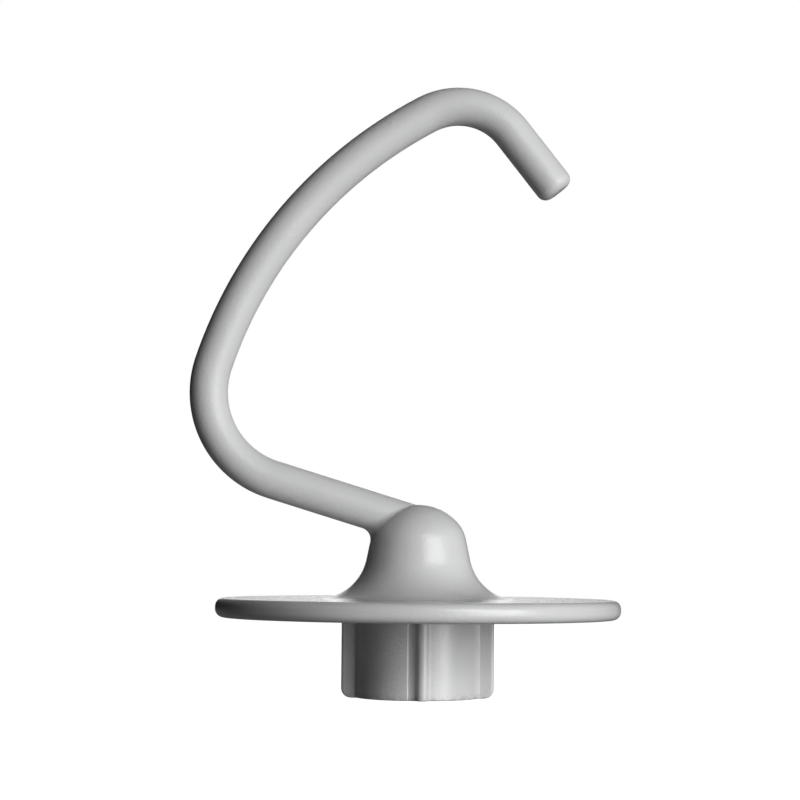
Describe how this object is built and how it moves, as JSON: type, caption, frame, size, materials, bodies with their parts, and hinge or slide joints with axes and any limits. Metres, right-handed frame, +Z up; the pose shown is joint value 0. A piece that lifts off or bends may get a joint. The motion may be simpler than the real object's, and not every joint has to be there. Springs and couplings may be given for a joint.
{
  "type": "dough hook",
  "caption": "Coated C-shaped dough hook with a shield disc and a bayonet drive socket for a stand mixer.",
  "frame": {"origin": "centre of the drive socket's mouth, on the socket's axis, where the end face meets the surface the hook stands on", "axes": "+Z up the socket's axis from the mouth to the hook's top; the hook lies in the XZ plane with its long back towards -X and its tip towards +X; +Y is across the hook, and the hook is seen from -Y"},
  "size_m": [0.1055, 0.0984, 0.1498],
  "materials": {
    "bare_metal": "as cast, machined in the bore and on the end face",
    "coating": "satin to semi-gloss light grey nylon, 0.4 mm thick"
  },
  "bodies": {
    "root": {"hook_bar": "bare_metal", "hub_casting": "bare_metal", "nylon_coating": "coating"}
  },
  "joints": []
}
